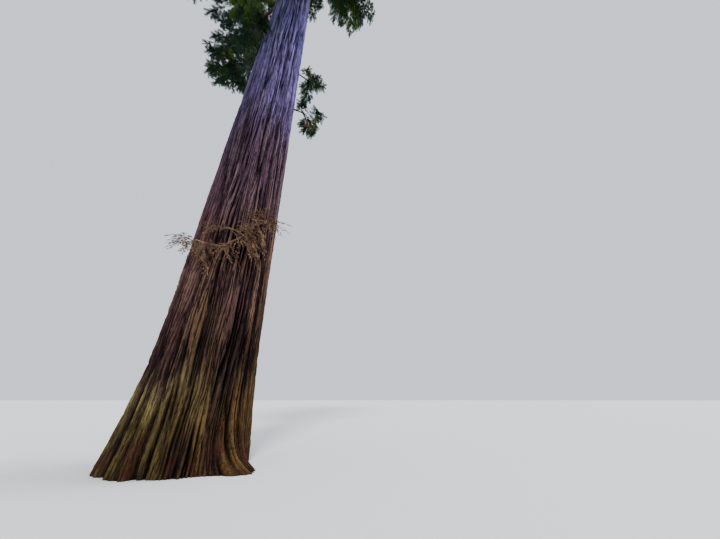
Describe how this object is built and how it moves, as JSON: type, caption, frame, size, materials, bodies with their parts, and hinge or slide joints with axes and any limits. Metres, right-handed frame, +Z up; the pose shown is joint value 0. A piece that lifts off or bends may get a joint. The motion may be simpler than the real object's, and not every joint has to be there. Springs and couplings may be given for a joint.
{
  "type": "redwood tree",
  "caption": "Tall redwood tree with a furrowed straight trunk, a flared foot cut flat at ground level, drooping boughs and a narrow feathery evergreen crown.",
  "frame": {"origin": "middle of the flat cut through the trunk at ground level", "axes": "+Z up along the trunk; -Y is the side seen in the picture, with +X to its right"},
  "size_m": [7.1819, 7.4607, 39.9924],
  "materials": {
    "bark": "deeply furrowed fibrous bark, dark brown with a purple-grey cast",
    "bough_bark": "rough bark",
    "needles": "soft matt needles",
    "dead_wood": "dry weathered twigs"
  },
  "bodies": {
    "root": {"bole_spray_left_high": "needles", "bole_spray_left_low": "needles", "bole_spray_right_high": "needles", "bole_spray_right_low": "needles", "bough_01": "bough_bark", "bough_02": "bough_bark", "bough_03": "bough_bark", "bough_04": "bough_bark", "bough_05": "bough_bark", "bough_06": "bough_bark", "bough_07": "bough_bark", "bough_08": "bough_bark", "bough_09": "bough_bark", "bough_10": "bough_bark", "bough_11": "bough_bark", "bough_12": "bough_bark", "bough_13": "bough_bark", "bough_14": "bough_bark", "bough_15": "bough_bark", "bough_16": "bough_bark", "crown_mass_01": "needles", "crown_mass_02": "needles", "crown_mass_03": "needles", "crown_mass_04": "needles", "crown_mass_05": "needles", "crown_mass_06": "needles", "crown_mass_07": "needles", "crown_mass_08": "needles", "crown_mass_09": "needles", "crown_mass_10": "needles", "crown_mass_11": "needles", "crown_mass_12": "needles", "crown_mass_13": "needles", "crown_mass_14": "needles", "crown_mass_15": "needles", "crown_mass_16": "needles", "crown_mass_17": "needles", "crown_mass_18": "needles", "crown_mass_19": "needles", "crown_mass_20": "needles", "crown_mass_21": "needles", "crown_mass_22": "needles", "crown_mass_23": "needles", "crown_mass_24": "needles", "crown_mass_25": "needles", "crown_mass_26": "needles", "crown_mass_27": "needles", "crown_mass_28": "needles", "crown_mass_29": "needles", "crown_mass_30": "needles", "crown_mass_31": "needles", "crown_mass_32": "needles", "crown_mass_33": "needles", "crown_mass_34": "needles", "crown_mass_35": "needles", "dead_limb_front": "dead_wood", "dead_limb_left": "dead_wood", "dead_limb_right": "dead_wood", "leader_mass": "needles", "trunk": "bark"}
  },
  "joints": []
}
